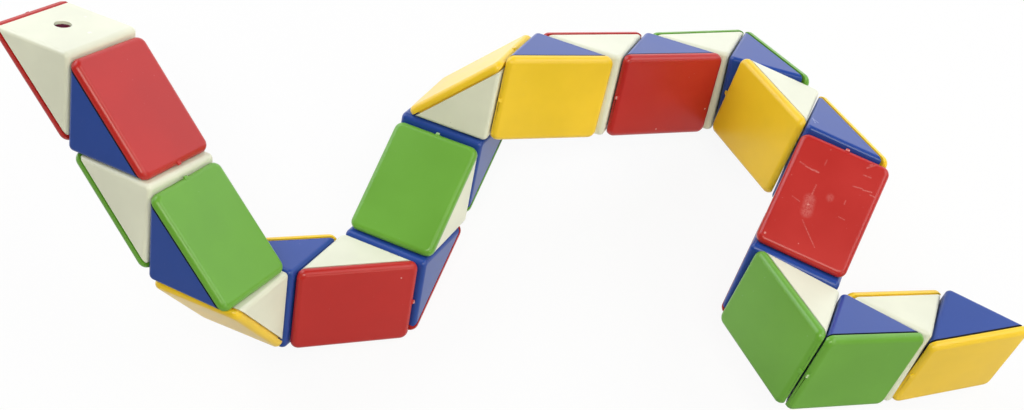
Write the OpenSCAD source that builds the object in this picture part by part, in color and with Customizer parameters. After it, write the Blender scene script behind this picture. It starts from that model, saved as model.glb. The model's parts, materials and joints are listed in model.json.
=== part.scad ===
// Twistable snake toy: twenty-four hollow right-angled wedges in a chain, each closed by a snapped-on cover,
// joined face to face by spring bolts so that every wedge can be turned on the next one.
// Millimetres, +Z up. The origin is under the middle of the toy as it rests on a table in the posed shape.
// Each wedge has its own frame: +X runs into it through its first square face, +Y along the prism,
// +Z out through its second square face. The frames meet halfway between two facing square faces.

/* [Wedges] */
// Side of the square faces of a wedge
side = 21; // [20:0.1:30]
// Gap between the facing square faces of two neighbours
gap = 0.3; // [0.2:0.05:0.4]
// Thickness of the moulded walls
wall = 1.3; // [1:0.05:1.6]
// Rounding of the long right-angled edge
ridge_r = 1.3; // [0.8:0.1:2]
// Rounding of the edges between square and triangular faces
edge_r = 1; // [0.6:0.1:1.3]

/* [Covers] */
// Thickness of a cover, from its face down to the shell it sits on
cover_t = 2.15; // [2:0.05:2.6]
// Rounding of the cover's rim
rim_r = 1.3; // [1:0.05:1.4]
// Rounding of the cover's four corners as seen from the front
corner_r = 2; // [1.6:0.1:3]
// Depth of the locating lip behind the cover plate
lip_h = 1.6; // [1:0.1:1.8]
// Width of the small gate mark on one short edge of each cover
gate_w = 1.2; // [0.8:0.1:2]

/* [Spring bolts] */
// Radius of the pivot hole in the middle of a square face
bore_r = 1.75; // [1.5:0.05:1.9]
// Thickness of the wall left around a pivot hole
web = 0.7; // [0.6:0.05:0.9]
// Running clearance of a bolt in its hole
pivot_clearance = 0.05; // [0.02:0.01:0.09]
// Radius of the bolt head and of the washer
head_r = 3; // [2.8:0.1:3.2]
// Thickness of the bolt head
head_t = 1.2; // [0.8:0.1:1.4]
// Thickness of the spring wire
wire = 0.5; // [0.4:0.05:0.55]
// Least gap between two turns of a spring
coil_gap = 0.1; // [0.05:0.05:0.2]

/* [Pose] */
// Turn of each wedge on the one before it, in degrees, joints 1 to 23 (0 folds back, 180 runs straight on)
twist = [
  179, 180.5, 182.5, 87, 91, 181, 90.5, 181, 181, 92, 88, 178.5,
  180, 178, 2.5, 170, 179, 91, 181, 266.8, 1, 178.5, 192.5
];
// Turn of the first wedge about the X, Y and Z axes
head_turn = [-75.01, 57.88, -104.45];
// Place of the first wedge, for square faces of 21
head_place = [-96.89, 13.19, 62.33];

/* [Hidden] */
$fn = 64;
cell = side + gap;
face = gap / 2;
top = cell / 2 - face;
shell_w = side - 4 * gap / 3;
half_slope = side / sqrt(2);
// Covers: they stand a little proud of the triangles, and their ends slope just inside the square faces
seam_h = 0.45;
seam_top = cover_t - seam_h;
seam_in = 0.8;
nose = 1.25;
cover_half = half_slope - nose;
end_in = 0.05;
end_reach = half_slope - end_in * sqrt(2);
back_half = half_slope - cover_t - seam_in;
blunt = 0.15;
tip = half_slope - cover_t - blunt;
cover_w = side - 2 * gap / 3;
lip_fit = 0.12;
lip_t = 1;
gate_out = 0.25;
gate_in = 0.6;
gate_h = 0.6;
gate_depth = 0.45;
// Spring bolts: everything behind a square face has to end clear of the cover
bolt_r = bore_r - pivot_clearance;
cap_lap = 0.7;
cap_r = bore_r + cap_lap;
cap_t = 0.8;
neck_r = 1.2;
neck_fit = 0.02;
washer_t = 0.4;
play = 0.05;
behind = face + web;
pocket_r = head_r + 0.4;
cap_gap = 0.2;
reach = cell / 2 - cover_t * sqrt(2) - cap_r - cap_gap;
coil_r = cap_r - wire / 2;
coil_low = behind + play + washer_t + play;
coil_high = reach - cap_t - play;
spring_rises = max(1, floor((coil_high - coil_low - wire) / (wire + coil_gap)));
rise = (coil_high - coil_low - wire) / spring_rises;
coil_break = 1;
collar_d = wire + 0.1;

ivory = [0.92, 0.91, 0.84];
blue = [0.21, 0.29, 0.6];
red = [0.76, 0.15, 0.13];
green = [0.42, 0.66, 0.22];
yellow = [0.95, 0.79, 0.14];
steel = [0.6, 0.61, 0.64];

function turn_x(a) = [[1, 0, 0, 0], [0, cos(a), -sin(a), 0], [0, sin(a), cos(a), 0], [0, 0, 0, 1]];
function turn_y(a) = [[cos(a), 0, sin(a), 0], [0, 1, 0, 0], [-sin(a), 0, cos(a), 0], [0, 0, 0, 1]];
function turn_z(a) = [[cos(a), -sin(a), 0, 0], [sin(a), cos(a), 0, 0], [0, 0, 1, 0], [0, 0, 0, 1]];
function shift(v) = [[1, 0, 0, v[0]], [0, 1, 0, v[1]], [0, 0, 1, v[2]], [0, 0, 0, 1]];
// From a wedge's frame to the next one's, which is turned by a degrees about the pivot between them
function hop(a) = shift([cell / 2, 0, cell / 2]) * turn_z(a) * turn_y(-90);

head = shift(head_place * side / 21) * turn_z(head_turn[2]) * turn_y(head_turn[1]) * turn_x(head_turn[0]);
frames = [for (i = 0, m = head; i < 24; m = m * hop(i < 23 ? twist[i] : 0), i = i + 1) m];

// Sub-part to draw

module in_wedge(k) {
  multmatrix(frames[k - 1]) children();
}

// Slab under the plane z = 0 whose two long upper edges are rounded
module soft_slab() {
  deep = 2 * cell;
  translate([0, -shell_w / 2, -deep]) cube([deep, shell_w, deep - edge_r]);
  translate([0, edge_r - shell_w / 2, -deep]) cube([deep, shell_w - 2 * edge_r, deep]);
  for (s = [-1, 1]) {
    translate([0, s * (shell_w / 2 - edge_r), -edge_r]) rotate([0, 90, 0]) cylinder(r = edge_r, h = deep);
  }
}

// Right-angled outline up to the plane on which the cover sits, with the ridge rounded and both tips blunted
module outline() {
  tip_x = cell / 2 - (tip + cover_t) / sqrt(2);
  tip_z = (cover_t - tip) / sqrt(2);
  face_z = cell / 2 - tip * sqrt(2) - face;
  difference() {
    polygon([[face, face_z], [tip_x, tip_z], [cell / 2 - tip_z, cell / 2 - tip_x], [cell / 2 - face_z, top], [face, top]]);
    translate([face + ridge_r, top - ridge_r]) difference() {
      translate([-ridge_r - 1, 0]) square(ridge_r + 1);
      circle(r = ridge_r);
    }
  }
}

module shell() {
  inner_x = face + wall;
  inner_z = top - wall;
  difference() {
    intersection() {
      rotate([90, 0, 0]) linear_extrude(shell_w, center = true) outline();
      translate([-cell / 2, 0, top]) soft_slab();
      translate([face, 0, -cell]) rotate([0, -90, 0]) soft_slab();
    }
    rotate([90, 0, 0]) linear_extrude(shell_w - 2 * wall, center = true)
      polygon([[inner_x, inner_x - cell / 2], [cell / 2 + inner_z, inner_z], [inner_x, inner_z]]);
    translate([face - 1, 0, 0]) rotate([0, 90, 0]) cylinder(r = bore_r, h = wall + 2);
    translate([face + web, 0, 0]) rotate([0, 90, 0]) cylinder(r = pocket_r, h = wall);
    translate([cell / 2, 0, inner_z - 1]) cylinder(r = bore_r, h = wall + 2);
    translate([cell / 2, 0, inner_z - web]) cylinder(r = pocket_r, h = wall);
  }
}

// Right half of the section of a plate that reaches out to half_w, with its upper edge rounded
module rim_section(half_w) {
  union() {
    intersection() {
      translate([half_w - rim_r, rim_r]) circle(r = rim_r);
      square([half_w, seam_top]);
    }
    square([half_w - rim_r, seam_top]);
    translate([0, rim_r]) square([half_w, seam_top - rim_r]);
  }
}

module plate_section(half_w) {
  rim_section(half_w);
  mirror([1, 0]) rim_section(half_w);
}

// Plate with a rounded rim and rounded corners, its face on z = 0, cut off at both ends
// along planes parallel to the square faces
module plate() {
  intersection() {
    union() {
      rotate([90, 0, 0]) linear_extrude(cover_w - 2 * corner_r, center = true) plate_section(cover_half);
      rotate([90, 0, 90]) linear_extrude(2 * (cover_half - corner_r), center = true) plate_section(cover_w / 2);
      for (sx = [0, 1], sy = [0, 1]) {
        mirror([sx, 0, 0]) mirror([0, sy, 0])
          translate([cover_half - corner_r, cover_w / 2 - corner_r, 0])
            rotate_extrude(angle = 90) rim_section(corner_r);
      }
    }
    rotate([90, 0, 0]) linear_extrude(cover_w + 2, center = true) polygon([
      [-end_reach - 1, -1],
      [end_reach + 1, -1],
      [end_reach - cover_t, cover_t],
      [cover_t - end_reach, cover_t]
    ]);
  }
}

// Cover with its face on z = 0 and its back towards the wedge: the plate, under it a narrower back that leaves
// a dark seam above the shell, the locating lip, and the gate mark at the end gate_end
module cover(gate_end) {
  lip_half = half_slope - cover_t - lip_h - wall * sqrt(2) - lip_fit;
  lip_w = shell_w / 2 - wall - lip_fit;
  back_w = cover_w / 2 - seam_in;
  translate([cell / 2, 0, 0]) rotate([0, -45, 0]) union() {
    plate();
    translate([-back_half, -back_w, seam_top / 2]) cube([2 * back_half, 2 * back_w, cover_t - seam_top / 2]);
    difference() {
      translate([-lip_half, -lip_w, cover_t / 2]) cube([2 * lip_half, 2 * lip_w, cover_t / 2 + lip_h]);
      translate([lip_t - lip_half, lip_t - lip_w, cover_t])
        cube([2 * (lip_half - lip_t), 2 * (lip_w - lip_t), lip_h + 1]);
    }
    translate([gate_end * (cover_half + (gate_out - gate_in) / 2), 0, gate_depth])
      cube([gate_out + gate_in, gate_w, gate_h], center = true);
  }
}

// One half-turn of spring wire, stopping a hair short of its ends
module half_turn(radius) {
  rotate([0, 0, coil_break]) rotate_extrude(angle = 180 - 2 * coil_break) translate([radius, 0]) circle(d = wire);
}

// Coil spring standing on z = 0: a flat half-turn, rising half-turns and a flat half-turn, joined by short collars
module spring() {
  tilt = atan(rise / 2 / coil_r);
  translate([0, 0, wire / 2]) union() {
    rotate([0, 0, 180]) half_turn(coil_r);
    for (i = [0 : spring_rises - 1]) {
      translate([0, 0, (i + 0.5) * rise]) rotate([0, 0, 180 * i]) rotate([0, tilt, 0]) half_turn(coil_r / cos(tilt));
    }
    for (i = [0 : spring_rises]) {
      translate([i % 2 == 0 ? coil_r : -coil_r, 0, i * rise]) rotate([90, 0, 0])
        cylinder(d = collar_d, h = wire, center = true);
    }
    translate([0, 0, spring_rises * rise]) rotate([0, 0, 180 * spring_rises]) half_turn(coil_r);
  }
}

// Bolt, washer, spring and retaining cap on the pivot between wedge j and the next one
module spring_bolt(j) {
  in_wedge(j + 1) rotate([0, j % 2 == 1 ? 90 : -90, 0]) {
    union() {
      translate([0, 0, behind + neck_fit]) cylinder(r = head_r, h = head_t);
      translate([0, 0, cap_t - reach]) cylinder(r = bolt_r, h = reach - cap_t + behind + head_t / 2);
      translate([0, 0, -reach]) cylinder(r = neck_r, h = reach);
    }
    difference() {
      translate([0, 0, -reach]) cylinder(r = cap_r, h = cap_t - neck_fit);
      translate([0, 0, -reach - 1]) cylinder(r = neck_r + neck_fit, h = cap_t + 2);
    }
    difference() {
      translate([0, 0, -behind - play - washer_t]) cylinder(r = head_r, h = washer_t);
      translate([0, 0, -behind - 1 - washer_t]) cylinder(r = bolt_r + play, h = washer_t + 2);
    }
    translate([0, 0, -coil_high]) spring();
  }
}

// Wedge 1: ivory shell with red cover
module wedge_01_shell() {
  color(ivory) in_wedge(1) shell();
}

module wedge_01_cover() {
  color(red) in_wedge(1) cover(-1);
}

// Wedge 2: blue shell with red cover, carrying the spring bolts of its joints
module wedge_02_shell() {
  color(blue) in_wedge(2) shell();
}

module wedge_02_cover() {
  color(red) in_wedge(2) cover(1);
}

module wedge_02_pivots() {
  color(steel) {
    spring_bolt(1);
    spring_bolt(2);
  }
}

// Wedge 3: ivory shell with green cover
module wedge_03_shell() {
  color(ivory) in_wedge(3) shell();
}

module wedge_03_cover() {
  color(green) in_wedge(3) cover(1);
}

// Wedge 4: blue shell with green cover, carrying the spring bolts of its joints
module wedge_04_shell() {
  color(blue) in_wedge(4) shell();
}

module wedge_04_cover() {
  color(green) in_wedge(4) cover(-1);
}

module wedge_04_pivots() {
  color(steel) {
    spring_bolt(3);
    spring_bolt(4);
  }
}

// Wedge 5: ivory shell with yellow cover
module wedge_05_shell() {
  color(ivory) in_wedge(5) shell();
}

module wedge_05_cover() {
  color(yellow) in_wedge(5) cover(1);
}

// Wedge 6: blue shell with yellow cover, carrying the spring bolts of its joints
module wedge_06_shell() {
  color(blue) in_wedge(6) shell();
}

module wedge_06_cover() {
  color(yellow) in_wedge(6) cover(1);
}

module wedge_06_pivots() {
  color(steel) {
    spring_bolt(5);
    spring_bolt(6);
  }
}

// Wedge 7: ivory shell with red cover
module wedge_07_shell() {
  color(ivory) in_wedge(7) shell();
}

module wedge_07_cover() {
  color(red) in_wedge(7) cover(1);
}

// Wedge 8: blue shell with red cover, carrying the spring bolts of its joints
module wedge_08_shell() {
  color(blue) in_wedge(8) shell();
}

module wedge_08_cover() {
  color(red) in_wedge(8) cover(1);
}

module wedge_08_pivots() {
  color(steel) {
    spring_bolt(7);
    spring_bolt(8);
  }
}

// Wedge 9: ivory shell with green cover
module wedge_09_shell() {
  color(ivory) in_wedge(9) shell();
}

module wedge_09_cover() {
  color(green) in_wedge(9) cover(1);
}

// Wedge 10: blue shell with green cover, carrying the spring bolts of its joints
module wedge_10_shell() {
  color(blue) in_wedge(10) shell();
}

module wedge_10_cover() {
  color(green) in_wedge(10) cover(1);
}

module wedge_10_pivots() {
  color(steel) {
    spring_bolt(9);
    spring_bolt(10);
  }
}

// Wedge 11: ivory shell with yellow cover
module wedge_11_shell() {
  color(ivory) in_wedge(11) shell();
}

module wedge_11_cover() {
  color(yellow) in_wedge(11) cover(1);
}

// Wedge 12: blue shell with yellow cover, carrying the spring bolts of its joints
module wedge_12_shell() {
  color(blue) in_wedge(12) shell();
}

module wedge_12_cover() {
  color(yellow) in_wedge(12) cover(-1);
}

module wedge_12_pivots() {
  color(steel) {
    spring_bolt(11);
    spring_bolt(12);
  }
}

// Wedge 13: ivory shell with red cover
module wedge_13_shell() {
  color(ivory) in_wedge(13) shell();
}

module wedge_13_cover() {
  color(red) in_wedge(13) cover(1);
}

// Wedge 14: blue shell with red cover, carrying the spring bolts of its joints
module wedge_14_shell() {
  color(blue) in_wedge(14) shell();
}

module wedge_14_cover() {
  color(red) in_wedge(14) cover(-1);
}

module wedge_14_pivots() {
  color(steel) {
    spring_bolt(13);
    spring_bolt(14);
  }
}

// Wedge 15: ivory shell with green cover
module wedge_15_shell() {
  color(ivory) in_wedge(15) shell();
}

module wedge_15_cover() {
  color(green) in_wedge(15) cover(1);
}

// Wedge 16: blue shell with green cover, carrying the spring bolts of its joints
module wedge_16_shell() {
  color(blue) in_wedge(16) shell();
}

module wedge_16_cover() {
  color(green) in_wedge(16) cover(1);
}

module wedge_16_pivots() {
  color(steel) {
    spring_bolt(15);
    spring_bolt(16);
  }
}

// Wedge 17: ivory shell with yellow cover
module wedge_17_shell() {
  color(ivory) in_wedge(17) shell();
}

module wedge_17_cover() {
  color(yellow) in_wedge(17) cover(-1);
}

// Wedge 18: blue shell with yellow cover, carrying the spring bolts of its joints
module wedge_18_shell() {
  color(blue) in_wedge(18) shell();
}

module wedge_18_cover() {
  color(yellow) in_wedge(18) cover(1);
}

module wedge_18_pivots() {
  color(steel) {
    spring_bolt(17);
    spring_bolt(18);
  }
}

// Wedge 19: ivory shell with red cover
module wedge_19_shell() {
  color(ivory) in_wedge(19) shell();
}

module wedge_19_cover() {
  color(red) in_wedge(19) cover(-1);
}

// Wedge 20: blue shell with red cover, carrying the spring bolts of its joints
module wedge_20_shell() {
  color(blue) in_wedge(20) shell();
}

module wedge_20_cover() {
  color(red) in_wedge(20) cover(1);
}

module wedge_20_pivots() {
  color(steel) {
    spring_bolt(19);
    spring_bolt(20);
  }
}

// Wedge 21: ivory shell with green cover
module wedge_21_shell() {
  color(ivory) in_wedge(21) shell();
}

module wedge_21_cover() {
  color(green) in_wedge(21) cover(1);
}

// Wedge 22: blue shell with green cover, carrying the spring bolts of its joints
module wedge_22_shell() {
  color(blue) in_wedge(22) shell();
}

module wedge_22_cover() {
  color(green) in_wedge(22) cover(-1);
}

module wedge_22_pivots() {
  color(steel) {
    spring_bolt(21);
    spring_bolt(22);
  }
}

// Wedge 23: ivory shell with yellow cover
module wedge_23_shell() {
  color(ivory) in_wedge(23) shell();
}

module wedge_23_cover() {
  color(yellow) in_wedge(23) cover(1);
}

// Wedge 24: blue shell with yellow cover, carrying the spring bolts of its joints
module wedge_24_shell() {
  color(blue) in_wedge(24) shell();
}

module wedge_24_cover() {
  color(yellow) in_wedge(24) cover(-1);
}

module wedge_24_pivots() {
  color(steel) {
    spring_bolt(23);
  }
}

wedge_01_shell();
wedge_01_cover();
wedge_02_shell();
wedge_02_cover();
wedge_02_pivots();
wedge_03_shell();
wedge_03_cover();
wedge_04_shell();
wedge_04_cover();
wedge_04_pivots();
wedge_05_shell();
wedge_05_cover();
wedge_06_shell();
wedge_06_cover();
wedge_06_pivots();
wedge_07_shell();
wedge_07_cover();
wedge_08_shell();
wedge_08_cover();
wedge_08_pivots();
wedge_09_shell();
wedge_09_cover();
wedge_10_shell();
wedge_10_cover();
wedge_10_pivots();
wedge_11_shell();
wedge_11_cover();
wedge_12_shell();
wedge_12_cover();
wedge_12_pivots();
wedge_13_shell();
wedge_13_cover();
wedge_14_shell();
wedge_14_cover();
wedge_14_pivots();
wedge_15_shell();
wedge_15_cover();
wedge_16_shell();
wedge_16_cover();
wedge_16_pivots();
wedge_17_shell();
wedge_17_cover();
wedge_18_shell();
wedge_18_cover();
wedge_18_pivots();
wedge_19_shell();
wedge_19_cover();
wedge_20_shell();
wedge_20_cover();
wedge_20_pivots();
wedge_21_shell();
wedge_21_cover();
wedge_22_shell();
wedge_22_cover();
wedge_22_pivots();
wedge_23_shell();
wedge_23_cover();
wedge_24_shell();
wedge_24_cover();
wedge_24_pivots();
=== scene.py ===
import json
import math
import bpy
import bmesh
from mathutils import Matrix, Vector


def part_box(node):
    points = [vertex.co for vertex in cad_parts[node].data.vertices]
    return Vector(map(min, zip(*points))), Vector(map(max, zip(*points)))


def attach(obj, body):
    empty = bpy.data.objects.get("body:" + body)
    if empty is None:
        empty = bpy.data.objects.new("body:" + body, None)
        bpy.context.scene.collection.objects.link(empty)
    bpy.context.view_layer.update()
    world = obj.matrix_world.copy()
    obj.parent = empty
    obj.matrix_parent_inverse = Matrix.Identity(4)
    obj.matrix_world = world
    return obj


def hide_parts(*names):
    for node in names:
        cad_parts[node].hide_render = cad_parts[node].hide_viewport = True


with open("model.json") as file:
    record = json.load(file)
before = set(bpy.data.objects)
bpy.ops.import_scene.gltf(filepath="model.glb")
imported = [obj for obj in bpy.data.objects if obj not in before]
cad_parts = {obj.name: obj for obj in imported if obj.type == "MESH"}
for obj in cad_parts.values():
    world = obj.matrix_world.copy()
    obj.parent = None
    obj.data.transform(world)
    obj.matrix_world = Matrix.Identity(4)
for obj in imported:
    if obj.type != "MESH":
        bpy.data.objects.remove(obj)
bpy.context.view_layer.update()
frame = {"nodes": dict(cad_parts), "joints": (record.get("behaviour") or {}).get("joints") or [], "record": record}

# The chain. Twenty-four equal wedges follow each other from the head to the tail, each turned on a pivot in
# the middle of a square face. A wedge's own frame has X into it through its first square face and Z out
# through its second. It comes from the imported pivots, and at the two free ends from the empty pivot holes.
MM = 0.001
WEDGES = 24
SIDE = 21.0
GAP = 0.3
WALL = 1.3
WEB = 0.7
FACE = GAP / 2
CELL = SIDE + GAP
TOP = CELL / 2 - FACE

mounts = {m["name"]: m for m in frame["record"]["mounts"]}
middles = []
for k in range(1, WEDGES + 1):
    low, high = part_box("wedge_%02d_shell" % k)
    middles.append((low + high) / 2)
into_head = -Vector(mounts["head_hole"]["axis"])
out_of_tail = Vector(mounts["tail_hole"]["axis"])
places = [Vector(mounts["head_hole"]["pos_m"]) - into_head * (FACE + WEB / 2) * MM]
ways = [into_head]
for k in range(1, WEDGES):
    joint = next(j for j in frame["joints"] if j["name"] == "twist_%02d" % k)
    way = Vector(joint["axis"]).normalized()
    if way.dot(middles[k] - middles[k - 1]) < 0:
        way = -way
    places.append(Vector(joint["pos_m"]))
    ways.append(way)
ways.append(out_of_tail)


def wedge_frame(k):
    """The matrix that carries wedge k from its own frame in millimetres to its place in the toy."""
    x = ways[k - 1]
    z = (ways[k] - x * ways[k].dot(x)).normalized()
    y = z.cross(x)
    turned = Matrix((x, y, z)).transposed().to_4x4()
    return Matrix.Translation(places[k - 1]) @ turned @ Matrix.Scale(MM, 4)


# Shells. Each is one hollow moulding with two square faces, two triangular sides and an open slanted side for
# the cover. Its ridge and the edges of its square faces are softly rounded, and each square face has a pivot
# hole in its middle. Odd shells are ivory, even ones blue.
SHELL_W = SIDE - 4 * GAP / 3
COVER_T = 2.15
SEAT = CELL / 2 - COVER_T * math.sqrt(2)
RIDGE_R = 1.3
EDGE_R = 1.0
BORE_R = 1.75
POCKET_R = 3.4
OVERCUT = 3.0
BLUNT = 0.15
TIP = SIDE / math.sqrt(2) - COVER_T - BLUNT
SHELL_SOFT = 0.12
SLANT = Vector((1, 0, -1)).normalized()


def only(piece):
    """Selects just this piece and makes it active."""
    bpy.ops.object.select_all(action="DESELECT")
    piece.select_set(True)
    bpy.context.view_layer.objects.active = piece


def new_block(name, low, high):
    """A block between two corners, in millimetres, open in edit mode with nothing selected."""
    bpy.ops.object.select_all(action="DESELECT")
    low, high = Vector(low), Vector(high)
    bpy.ops.mesh.primitive_cube_add(size=1, location=(low + high) / 2, scale=high - low)
    piece = bpy.context.object
    piece.name = name
    bpy.ops.object.transform_apply(location=True, rotation=True, scale=True)
    bpy.ops.object.mode_set(mode="EDIT")
    bpy.ops.mesh.select_all(action="DESELECT")
    return piece


def pick_edges(piece, test):
    """Selects just the edges whose two ends pass the test."""
    bpy.context.tool_settings.mesh_select_mode = (False, True, False)
    mesh = bmesh.from_edit_mesh(piece.data)
    for part in (*mesh.faces, *mesh.edges, *mesh.verts):
        part.select = False
    for edge in mesh.edges:
        if test(edge.verts[0].co, edge.verts[1].co):
            edge.select_set(True)
    bmesh.update_edit_mesh(piece.data)


def pick_faces(piece, test):
    """Selects just the faces whose middle and normal pass the test."""
    bpy.context.tool_settings.mesh_select_mode = (False, False, True)
    mesh = bmesh.from_edit_mesh(piece.data)
    for part in (*mesh.faces, *mesh.edges, *mesh.verts):
        part.select = False
    for face in mesh.faces:
        if test(face.calc_center_median(), face.normal):
            face.select_set(True)
    bmesh.update_edit_mesh(piece.data)


def same(a, b):
    return abs(a - b) < 1e-4


def on_seat(point):
    """Whether a point of the shell lies on the slanted side that takes the cover."""
    return same(point.x - point.z, SEAT)


def on_triangle(a, b):
    """Whether both points lie on one triangular side of the shell."""
    return same(abs(a.y), SHELL_W / 2) and same(a.y, b.y)


def to_object_mode():
    bpy.ops.object.mode_set(mode="OBJECT")


def cut_out(piece, tool, operation="DIFFERENCE"):
    """Applies a boolean of one piece with another, and removes the other."""
    only(piece)
    change = piece.modifiers.new("change", "BOOLEAN")
    change.operation = operation
    change.solver = "EXACT"
    change.object = tool
    bpy.ops.object.modifier_apply(modifier="change")
    bpy.data.objects.remove(tool)


def break_edges(piece, width):
    """Rounds the sharp edges that are left, as a mould does, and shades the piece smoothly."""
    only(piece)
    soft = piece.modifiers.new("soft", "BEVEL")
    soft.width = width
    soft.segments = 2
    soft.limit_method = "ANGLE"
    soft.angle_limit = math.radians(35)
    bpy.ops.object.modifier_apply(modifier="soft")
    bpy.ops.object.shade_smooth_by_angle(angle=math.radians(50))
    even = piece.modifiers.new("even", "WEIGHTED_NORMAL")
    even.keep_sharp = True
    bpy.ops.object.modifier_apply(modifier="even")


shell = new_block("shell", (FACE, -SHELL_W / 2, TOP - SIDE), (FACE + SIDE, SHELL_W / 2, TOP))
bpy.ops.mesh.select_all(action="SELECT")
bpy.ops.mesh.bisect(plane_co=(SEAT, 0, 0), plane_no=SLANT, use_fill=True, clear_outer=True)
pick_edges(shell, lambda a, b: same(a.x, FACE) and same(b.x, FACE) and same(a.z, TOP) and same(b.z, TOP))
bpy.ops.mesh.bevel(offset=RIDGE_R, segments=8)
pick_edges(shell, lambda a, b: on_triangle(a, b) and not (on_seat(a) and on_seat(b)))
bpy.ops.mesh.bevel(offset=EDGE_R, segments=6)
for end in (-1, 1):
    bpy.ops.mesh.select_all(action="SELECT")
    tip = Vector((CELL / 2, 0, 0)) + end * TIP / math.sqrt(2) * Vector((1, 0, 1))
    bpy.ops.mesh.bisect(plane_co=tip, plane_no=(end, 0, end), use_fill=True, clear_outer=True)
to_object_mode()

inside = SHELL_W / 2 - WALL
hollow = new_block("hollow", (FACE + WALL, -inside, TOP - SIDE - WALL), (FACE + 2 * SIDE, inside, TOP - WALL))
bpy.ops.mesh.select_all(action="SELECT")
bpy.ops.mesh.bisect(plane_co=(SEAT + OVERCUT, 0, 0), plane_no=SLANT, use_fill=True, clear_outer=True)
to_object_mode()
cut_out(shell, hollow)
pocket_in = FACE + WEB + WALL / 2
for turn, radius, depth, place in (
    (0, BORE_R, 4 * WALL, (CELL / 2, 0, TOP)),
    (0, POCKET_R, WALL, (CELL / 2, 0, CELL / 2 - pocket_in)),
    (math.pi / 2, BORE_R, 4 * WALL, (FACE, 0, 0)),
    (math.pi / 2, POCKET_R, WALL, (pocket_in, 0, 0)),
):
    bpy.ops.object.select_all(action="DESELECT")
    bpy.ops.mesh.primitive_cylinder_add(
        vertices=48, radius=radius, depth=depth, location=place, rotation=(0, turn, 0)
    )
    drill = bpy.context.object
    bpy.ops.object.transform_apply(location=True, rotation=True, scale=True)
    cut_out(shell, drill)
break_edges(shell, SHELL_SOFT)
# The faces of the seat in the seam under the cover are marked, so that painted shade can be laid on them.
in_seam = shell.data.attributes.new("in seam", "FLOAT", "FACE")
for face in shell.data.polygons:
    in_seam.data[face.index].value = float(abs(face.center.x - face.center.z - SEAT) < SHELL_SOFT)

# Covers. Each is a snapped-on moulding over the slanted side, with broadly rounded rim and corners and ends
# that slope in line with the square faces, over a narrow dark seam. A lip behind locates it, and the stub of
# the moulding gate is left on the rim at one end. It is drawn with its face on z = 0 and its back up z.
RIM_R = 1.3
CORNER_R = 2.0
SEAM_H = 0.45
SEAM_TOP = COVER_T - SEAM_H
SEAM_IN = 0.8
NOSE = 1.25
HALF_LENGTH = SIDE / math.sqrt(2) - NOSE
HALF_WIDTH = SIDE / 2 - GAP / 3
END_IN = 0.05
END_REACH = (SIDE / 2 - END_IN) * math.sqrt(2)
LIP_H = 1.6
LIP_T = 1.0
LIP_FIT = 0.12
LIP_CORNER = 0.8
GATE_W = 1.2
GATE_H = 0.6
GATE_LOW = 0.15
GATE_IN = 0.6
GATE_OUT = 0.25
COVER_SOFT = 0.06

plate = new_block("plate", (-HALF_LENGTH, -HALF_WIDTH, 0), (HALF_LENGTH, HALF_WIDTH, SEAM_TOP))
pick_edges(plate, lambda a, b: same(a.x, b.x) and same(a.y, b.y))
bpy.ops.mesh.bevel(offset=CORNER_R, segments=12)
pick_edges(plate, lambda a, b: same(a.z, 0) and same(b.z, 0))
bpy.ops.mesh.bevel(offset=RIM_R, segments=10)
for end in (-1, 1):
    bpy.ops.mesh.select_all(action="SELECT")
    reach = (end * END_REACH, 0, 0)
    bpy.ops.mesh.bisect(plane_co=reach, plane_no=(end, 0, 1), use_fill=True, clear_outer=True)
to_object_mode()

back_x, back_y = SIDE / math.sqrt(2) - COVER_T - SEAM_IN, HALF_WIDTH - SEAM_IN
back = new_block("back", (-back_x, -back_y, SEAM_TOP / 2), (back_x, back_y, COVER_T))
pick_edges(back, lambda a, b: same(a.x, b.x) and same(a.y, b.y))
bpy.ops.mesh.bevel(offset=CORNER_R - SEAM_IN, segments=8)
to_object_mode()
cut_out(plate, back, "UNION")

lip_half = SIDE / math.sqrt(2) - COVER_T - LIP_H - WALL * math.sqrt(2) - LIP_FIT
lip_side = SHELL_W / 2 - WALL - LIP_FIT
lip = new_block("lip", (-lip_half, -lip_side, COVER_T / 2), (lip_half, lip_side, COVER_T + LIP_H))
pick_edges(lip, lambda a, b: same(a.x, b.x) and same(a.y, b.y))
bpy.ops.mesh.bevel(offset=LIP_CORNER, segments=4)
to_object_mode()
well_x, well_y = lip_half - LIP_T, lip_side - LIP_T
well = new_block("well", (-well_x, -well_y, COVER_T * 3 / 4), (well_x, well_y, COVER_T + 2 * LIP_H))
to_object_mode()
cut_out(lip, well)
cut_out(plate, lip, "UNION")

covers = {}
for gate_end in (-1, 1):
    only(plate)
    bpy.ops.object.duplicate()
    cover = bpy.context.object
    ends = sorted((gate_end * (HALF_LENGTH - GATE_IN), gate_end * (HALF_LENGTH + GATE_OUT)))
    gate = new_block("gate", (ends[0], -GATE_W / 2, GATE_LOW), (ends[1], GATE_W / 2, GATE_LOW + GATE_H))
    pick_faces(gate, lambda p, n: n.x * gate_end > 0.9)
    bpy.ops.transform.resize(value=(1, 0.6, 0.7))
    to_object_mode()
    cut_out(cover, gate, "UNION")
    break_edges(cover, COVER_SOFT)
    cover.data.transform(Matrix.Translation((CELL / 2, 0, 0)) @ Matrix.Rotation(math.radians(-45), 4, "Y"))
    covers[gate_end] = cover


# Plastic. The mouldings are polished, so each has a clear gloss with faint waves from uneven shrinking and
# fine dust, and its colour varies a little over it. Some carry scuffs, specks and whitened gate stubs.
WHITE = (1, 1, 1, 1)
BLACK = (0, 0, 0, 1)
ROUGHNESS = 0.28
CLOUD_SCALE = 60.0
WAVE_SCALE = 110.0
DUST_SCALE = 1900.0
GRIT_SCALE = 2600.0


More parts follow.
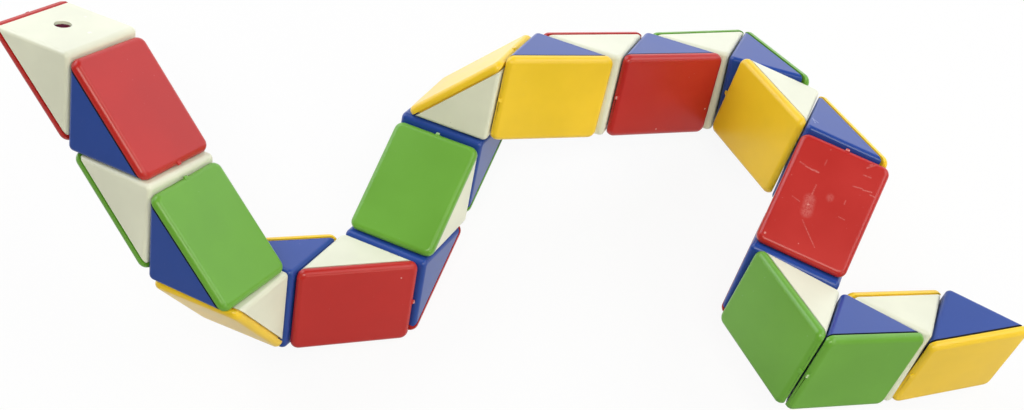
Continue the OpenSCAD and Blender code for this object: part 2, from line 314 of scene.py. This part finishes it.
class Wire:
    """A socket of a shader, with the operators that the finishes use. The first input of a node is i0."""

    def __init__(self, tree, socket):
        self.tree, self.socket = tree, socket

    def node(self, kind, settings, **values):
        made = self.tree.nodes.new("ShaderNode" + kind)
        for key, value in settings.items():
            setattr(made, key, value)
        for key, value in values.items():
            target = made.inputs[int(key[1:])] if key[0] == "i" and key[1:].isdigit() else made.inputs[key]
            if isinstance(value, Wire):
                self.tree.links.new(value.socket, target)
            else:
                target.default_value = value
        return made

    def out(self, kind, settings, name=0, **values):
        return Wire(self.tree, self.node(kind, settings, **values).outputs[name])

    def maths(self, operation, other):
        return self.out("Math", {"operation": operation}, i0=self, i1=other)

    def __add__(self, other):
        return self.maths("ADD", other)

    def __mul__(self, other):
        return self.maths("MULTIPLY", other)

    def __rsub__(self, other):
        return self * -1 + other

    def over(self, low, high):
        """0 below low, 1 above high, and smooth between."""
        made = self.node("MapRange", {"interpolation_type": "SMOOTHSTEP"}, i0=self, i1=low, i2=high)
        return Wire(self.tree, made.outputs[0])

    def paint(self, under, colour):
        """The colour laid on the one under it, as thick as this mask."""
        return self.out("Mix", {"data_type": "RGBA"}, 2, i0=self, i6=under, i7=colour)


def linear(hexed):
    """A colour written as in a picture file, for a shader."""
    values = [int(hexed[i:i + 2], 16) / 255 for i in (0, 2, 4)]
    return tuple(v / 12.92 if v <= 0.04045 else ((v + 0.055) / 1.055) ** 2.4 for v in values) + (1,)


def plastic(name, colour, marks=(), seam_shade=0.0):
    """Glossy moulded plastic. Each mark is a scratch or spot: two ends, half width, strength and colour.
    Painted shade darkens the seam under the cover, as strong as the given share."""
    material = bpy.data.materials.new(name)
    material.use_nodes = True
    tree = material.node_tree
    skin = tree.nodes["Principled BSDF"]
    start = Wire(tree, None)
    place = start.out("TexCoord", {}, "Object")
    cloud = start.out("TexNoise", {}, "Fac", Vector=place, Scale=CLOUD_SCALE, Detail=3.0)
    dust = start.out("TexNoise", {}, "Fac", Vector=place, Scale=DUST_SCALE, Detail=2.0)
    base = linear(colour)
    deep = tuple(v * 0.9 for v in base[:3]) + (1,)
    pale = tuple(v + (0.75 - v) * 0.25 for v in base[:3]) + (1,)
    tint = cloud.over(0.3, 0.75).paint(deep, base)
    specks = dust.over(0.74, 0.8) * 0.5
    tint = specks.paint(tint, pale)
    rough = cloud.over(0.3, 0.8) * 0.06 + ROUGHNESS + specks * 0.2
    # Painted shade: the faces in the seam under the cover are laid over with near-black, for the shade that the
    # cover casts there.
    if seam_shade:
        seam = start.out("Attribute", {"attribute_name": "in seam"}, "Fac") * seam_shade
        tint = seam.paint(tint, linear("0a0c14"))
        rough = rough + seam * 0.5
    if marks:
        grit = start.out("TexNoise", {}, "Fac", Vector=place, Scale=GRIT_SCALE, Detail=3.0).over(0.36, 0.56)
    for one, other, half, strength, stain in marks:
        along = other - one
        from_one = start.out("VectorMath", {"operation": "SUBTRACT"}, "Vector", i0=place, i1=one)
        if along.length > 0:
            per_length = along / along.length_squared
            share = start.out("VectorMath", {"operation": "DOT_PRODUCT"}, "Value", i0=from_one, i1=per_length)
            share = share.maths("MAXIMUM", 0.0).maths("MINIMUM", 1.0)
            foot = start.out("VectorMath", {"operation": "SCALE"}, "Vector", i0=along, i3=share)
            from_one = start.out("VectorMath", {"operation": "SUBTRACT"}, "Vector", i0=from_one, i1=foot)
        away = start.out("VectorMath", {"operation": "LENGTH"}, "Value", i0=from_one)
        blot = (1 - away.over(half * 0.3, half)) * (grit * 0.7 + 0.3) * strength
        tint = blot.paint(tint, linear(stain))
        rough = rough + blot * 0.25
    tree.links.new(tint.socket, skin.inputs["Base Color"])
    tree.links.new(rough.socket, skin.inputs["Roughness"])
    wave = start.out("TexNoise", {}, "Fac", Vector=place, Scale=WAVE_SCALE, Detail=1.0)
    ripple = start.node("Bump", {}, Strength=0.05, Distance=0.0004, Height=wave)
    tree.links.new(ripple.outputs["Normal"], skin.inputs["Normal"])
    skin.inputs["IOR"].default_value = 1.5
    return material


COLOURS = {"ivory": "eaecd4", "blue": "24489b", "red": "c12a24", "green": "6dab37", "yellow": "fbd12b"}
PAIRS = ["red", "green", "yellow"]
HEADWARD_GATES = (1, 4, 12, 14, 17, 19, 22, 24)
# How strongly painted shade darkens the seam under the cover, for each shell colour.
SEAM_SHADE = {"blue": 0.9, "ivory": 0.15}
finishes = {}
for name, colour in COLOURS.items():
    finishes[name] = plastic(name + " plastic", colour, seam_shade=SEAM_SHADE.get(name, 0.0))


def on_cover(k, along, across):
    """A place on the face of cover k, in millimetres from its middle."""
    away = along / math.sqrt(2)
    return wedge_frame(k) @ Vector((CELL / 2 + away, across, away))


def on_side(k, way, x, z):
    """A place on a triangular side of wedge k, the one at way times half its width."""
    return wedge_frame(k) @ Vector((CELL / 2 + x, way * SHELL_W / 2, z))


def on_first(k, y, z):
    """A place on the first square face of wedge k."""
    return wedge_frame(k) @ Vector((FACE, y, z))


def scratches(k, colour, rows):
    """Marks on the face of cover k, each as along, across, along, across, half width and strength."""
    return [(on_cover(k, a, b), on_cover(k, c, d), half * MM, strength, colour)
            for a, b, c, d, half, strength in rows]


# The back of the red cover of the first wedge glows a faint dark red, painted light for the daylight that comes
# through the thin plate. It shows in the open pivot hole.
glowing_plate = plastic("red plastic with a painted back glow", COLOURS["red"])
tree = glowing_plate.node_tree
skin = tree.nodes["Principled BSDF"]
start = Wire(tree, None)
place = start.out("TexCoord", {}, "Object")
from_face = start.out("VectorMath", {"operation": "SUBTRACT"}, "Vector", i0=place, i1=on_cover(1, 0, 0))
inward = (wedge_frame(1).to_3x3() @ Vector((-1, 0, 1))).normalized()
depth = start.out("VectorMath", {"operation": "DOT_PRODUCT"}, "Value", i0=from_face, i1=inward)
on_back = depth.over((COVER_T - 0.2) * MM, (COVER_T - 0.1) * MM)
# Painted glow: the back of the plate gives off a dim dark red light.
through = on_back.paint(BLACK, linear("3a1c30"))
tree.links.new(through.socket, skin.inputs["Emission Color"])
skin.inputs["Emission Strength"].default_value = 1.0

worn = {
    "cover_01": glowing_plate,
    "cover_19": plastic("scuffed red plastic", COLOURS["red"], scratches(19, "e9a8a0", (
        (3.4, 2.6, 0.4, 3.1, 1.7, 0.2), (1.7, 2.9, 1.7, 2.9, 0.32, 0.8),
        (-1.9, -0.7, -1.6, -0.7, 1.1, 0.14), (-3.1, 3.1, -0.9, 3.1, 0.25, 0.22),
        (5.4, 2.7, 6.9, 1.2, 0.22, 0.15), (6.9, 1.2, 9.9, -2.0, 0.18, 0.22),
        (-6.5, 8.3, -6.3, 7.1, 0.22, 0.28), (-6.1, 6.8, -6.0, 5.4, 0.25, 0.28),
        (-6.0, 5.3, -6.0, 3.8, 0.3, 0.34), (-8.1, 3.2, -9.4, 3.2, 0.2, 0.15),
        (-9.6, -5.2, -9.7, -6.9, 0.22, 0.25), (-11.4, -5.3, -13.0, -7.0, 0.25, 0.22),
        (-12.2, -5.6, -12.6, -6.0, 0.3, 0.22), (-6.3, -4.2, -6.6, -6.2, 0.22, 0.22),
        (-6.4, -6.4, -6.7, -8.3, 0.22, 0.28), (-6.0, -8.1, -6.0, -9.3, 0.2, 0.28),
        (-2.6, -4.0, -1.7, -4.0, 0.2, 0.2), (1.4, -4.0, 1.5, -5.4, 0.18, 0.2),
        (1.4, 6.8, 1.8, 4.9, 0.2, 0.15), (11.5, 8.8, 11.5, 8.8, 0.35, 0.9),
        (10.6, 1.4, 10.6, 1.4, 0.2, 0.6), (-11.9, 3.4, -11.9, 3.4, 0.25, 0.4),
        (-3.0, 8.8, -3.0, 8.8, 0.2, 0.4), (-13.6, -1.0, -13.5, 0.8, 0.4, 0.9),
    ))),
    "cover_14": plastic("specked red plastic", COLOURS["red"], scratches(14, "f0d8d0", (
        (-0.6, 8.6, -0.6, 8.6, 0.25, 0.9), (11.9, 3.6, 11.9, 3.6, 0.25, 0.9),
        (4.9, -5.0, 4.9, -5.0, 0.15, 0.6), (-13.7, -0.3, -13.7, 0.3, 0.4, 0.8),
    ))),
    "cover_07": plastic("red plastic with a speck", COLOURS["red"], scratches(7, "f0d8d0", (
        (9.7, -7.2, 9.7, -7.2, 0.25, 0.9), (13.7, -0.3, 13.7, 0.3, 0.4, 0.8),
    ))),
    "cover_09": plastic("green plastic with a white stub", COLOURS["green"], scratches(9, "dce8c8", (
        (13.7, -0.3, 13.7, 0.3, 0.4, 0.8),
    ))),
    "cover_22": plastic("chipped green plastic", COLOURS["green"], scratches(22, "dce8c8", (
        (4.4, -10.3, 5.4, -10.4, 0.2, 0.8), (6.3, -10.3, 7.6, -10.4, 0.2, 0.8),
        (8.6, -10.3, 9.9, -10.3, 0.2, 0.7), (2.6, -10.2, 3.1, -10.3, 0.15, 0.6),
        (-13.7, -0.4, -13.7, 0.4, 0.5, 0.9),
    ))),
    "shell_18": plastic("scratched blue plastic", COLOURS["blue"], [
        (on_side(18, 1, -10.0, 5.5), on_side(18, 1, -9.0, 7.6), 0.25 * MM, 0.5, "b9c2de"),
        (on_side(18, 1, -9.3, 6.2), on_side(18, 1, -8.4, 6.9), 0.18 * MM, 0.4, "b9c2de"),
    ], SEAM_SHADE["blue"]),
    "shell_11": plastic("ivory plastic with a speck", COLOURS["ivory"], [
        (on_side(11, 1, -8.7, 1.5), on_side(11, 1, -8.7, 1.5), 0.2 * MM, 0.7, "8c8468"),
    ]),
    # Two small pale spots on the first square face of the head wedge, where its ejector marks are; no dent is
    # modelled.
    "shell_01": plastic("ivory plastic with two pale spots", COLOURS["ivory"], [
        (on_first(1, 6.4, 0.1), on_first(1, 6.4, 0.1), 0.5 * MM, 0.6, "fbfaf4"),
        (on_first(1, 0.6, 6.2), on_first(1, 0.9, 6.2), 0.5 * MM, 0.7, "fbfaf4"),
    ]),
}


def fit(master, name, k, node, colour):
    """Puts a copy of a moulding at wedge k, standing for its CAD node."""
    piece = bpy.data.objects.new(name, master.data.copy())
    bpy.context.scene.collection.objects.link(piece)
    piece.data.transform(wedge_frame(k))
    piece.data.materials.clear()
    piece.data.materials.append(worn.get(name, finishes[colour]))
    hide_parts(node)
    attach(piece, "wedge_%02d" % k)


for k in range(1, WEDGES + 1):
    number = "%02d" % k
    fit(shell, "shell_" + number, k, "wedge_" + number + "_shell", "ivory" if k % 2 else "blue")
    cover = covers[-1 if k in HEADWARD_GATES else 1]
    fit(cover, "cover_" + number, k, "wedge_" + number + "_cover", PAIRS[(k - 1) // 2 % 3])
for master in (shell, plate, *covers.values()):
    bpy.data.objects.remove(master)

# Pivots. Behind the square faces sit zinc-plated steel bolts with washers, coil springs and pressed-on caps,
# which pull each pair of wedges together.
zinc = bpy.data.materials.new("zinc-plated steel")
zinc.use_nodes = True
metal = zinc.node_tree.nodes["Principled BSDF"]
metal.inputs["Metallic"].default_value = 1.0
start = Wire(zinc.node_tree, None)
place = start.out("TexCoord", {}, "Object")
bloom = start.out("TexNoise", {}, "Fac", Vector=place, Scale=900.0, Detail=3.0)
grain = bloom.over(0.3, 0.75).paint(linear("a9adb2"), linear("c9ccd0"))
zinc.node_tree.links.new(grain.socket, metal.inputs["Base Color"])
zinc.node_tree.links.new((bloom * 0.25 + 0.22).socket, metal.inputs["Roughness"])
for name, node in frame["nodes"].items():
    if name.endswith("_pivots"):
        node.data.materials.clear()
        node.data.materials.append(zinc)

# Table. A plain white sheet that the toy rests on. Seen straight on it mostly glows an even white, so that there
# is only a faint shade under the toy. In the gloss of the plastic it glows greyer at the front and brightest
# behind the toy, a painted reflection.
bpy.ops.object.select_all(action="DESELECT")
bpy.ops.mesh.primitive_plane_add(size=6, location=(0, 0, 0))
table = bpy.context.object
table.name = "table"
paper = bpy.data.materials.new("white paper")
paper.use_nodes = True
tree = paper.node_tree
start = Wire(tree, None)
lit = tree.nodes["Principled BSDF"]
lit.inputs["Base Color"].default_value = (0.86, 0.86, 0.86, 1)
lit.inputs["Roughness"].default_value = 0.9
lit.inputs["Specular IOR Level"].default_value = 0.1
rays = start.node("LightPath", {})
in_gloss = Wire(tree, rays.outputs["Is Glossy Ray"])
place = start.node("SeparateXYZ", {}, i0=start.out("TexCoord", {}, "Object"))
towards_back = Wire(tree, place.outputs["Y"]).over(-0.05, -0.015)
behind_toy = Wire(tree, place.outputs["Y"]).over(0.03, 0.08)
# Painted reflection: for the gloss of the plastic the table glows greyer at the front and brighter behind the toy.
reflected = towards_back.paint((0.35, 0.35, 0.35, 1), WHITE)
reflected = behind_toy.paint(reflected, (1.5, 1.5, 1.5, 1))
glow = start.node("Emission", {}, Color=in_gloss.paint(WHITE, reflected), Strength=1.0)
seen = Wire(tree, rays.outputs["Is Camera Ray"]) * 0.9 + in_gloss
blend = start.node("MixShader", {}, i0=seen, i1=Wire(tree, lit.outputs[0]), i2=Wire(tree, glow.outputs[0]))
tree.links.new(blend.outputs[0], tree.nodes["Material Output"].inputs["Surface"])
table.data.materials.append(paper)

# Light. Broad soft lamps stand round the toy, cool ones at the back and left and warm ones at the front. The
# space right above stays dark, so that upward faces keep their colour. The room is seen as the white behind.
world = bpy.context.scene.world or bpy.data.worlds.new("room")
bpy.context.scene.world = world
world.use_nodes = True
tree = world.node_tree
tree.nodes.clear()
start = Wire(tree, None)
rays = start.node("LightPath", {})
fill = Wire(tree, rays.outputs["Is Camera Ray"]) + Wire(tree, rays.outputs["Is Diffuse Ray"]) * 0.1
room = start.node("Background", {}, Color=WHITE, Strength=fill)
end = start.node("OutputWorld", {})
tree.links.new(room.outputs[0], end.inputs["Surface"])
AIM = Vector((0, 0, 0.02))
COOL = (0.88, 0.9, 1.0)
WARM = (1.0, 0.97, 0.86)


def lamp(name, place, size, watts, tint):
    """A soft lamp that points at the toy, of a width and height in metres."""
    light = bpy.data.lights.new(name, "AREA")
    light.shape, light.energy, light.color = "ELLIPSE", watts, tint
    light.size, light.size_y = size
    holder = bpy.data.objects.new(name, light)
    holder.location = place
    holder.rotation_euler = (AIM - Vector(place)).to_track_quat("-Z", "Y").to_euler()
    bpy.context.scene.collection.objects.link(holder)


lamp("back panel", (0.57, 0.99, 0.35), (2.2, 0.8), 5.6, COOL)
lamp("left panel", (-0.88, 0.74, 0.35), (1.6, 0.8), 5.8, COOL)
lamp("front lamp", (0.8, -0.8, 0.41), (0.8, 0.5), 2.4, WARM)
lamp("right lamp", (0.85, 0.0, 0.85), (1.1, 0.8), 5.55, WHITE[:3])
lamp("back lamp", (-0.6, 0.6, 0.85), (1.0, 0.7), 5.5, COOL)
lamp("upper lamp", (0.0, -0.51, 1.09), (0.8, 0.5), 6.35, WARM)

# Camera. It looks down at the middle of the toy from the front.
camera_data = bpy.data.cameras.new("camera")
camera_data.sensor_width = 36
camera_data.lens = 47.005
camera = bpy.data.objects.new("camera", camera_data)
camera.location = (-0.015136, -0.153682, 0.282163)
camera.rotation_euler = [math.radians(a) for a in (29.93330, -2.40511, -0.00307)]
bpy.context.scene.collection.objects.link(camera)
bpy.context.scene.camera = camera
bpy.context.scene.view_settings.view_transform = "Standard"
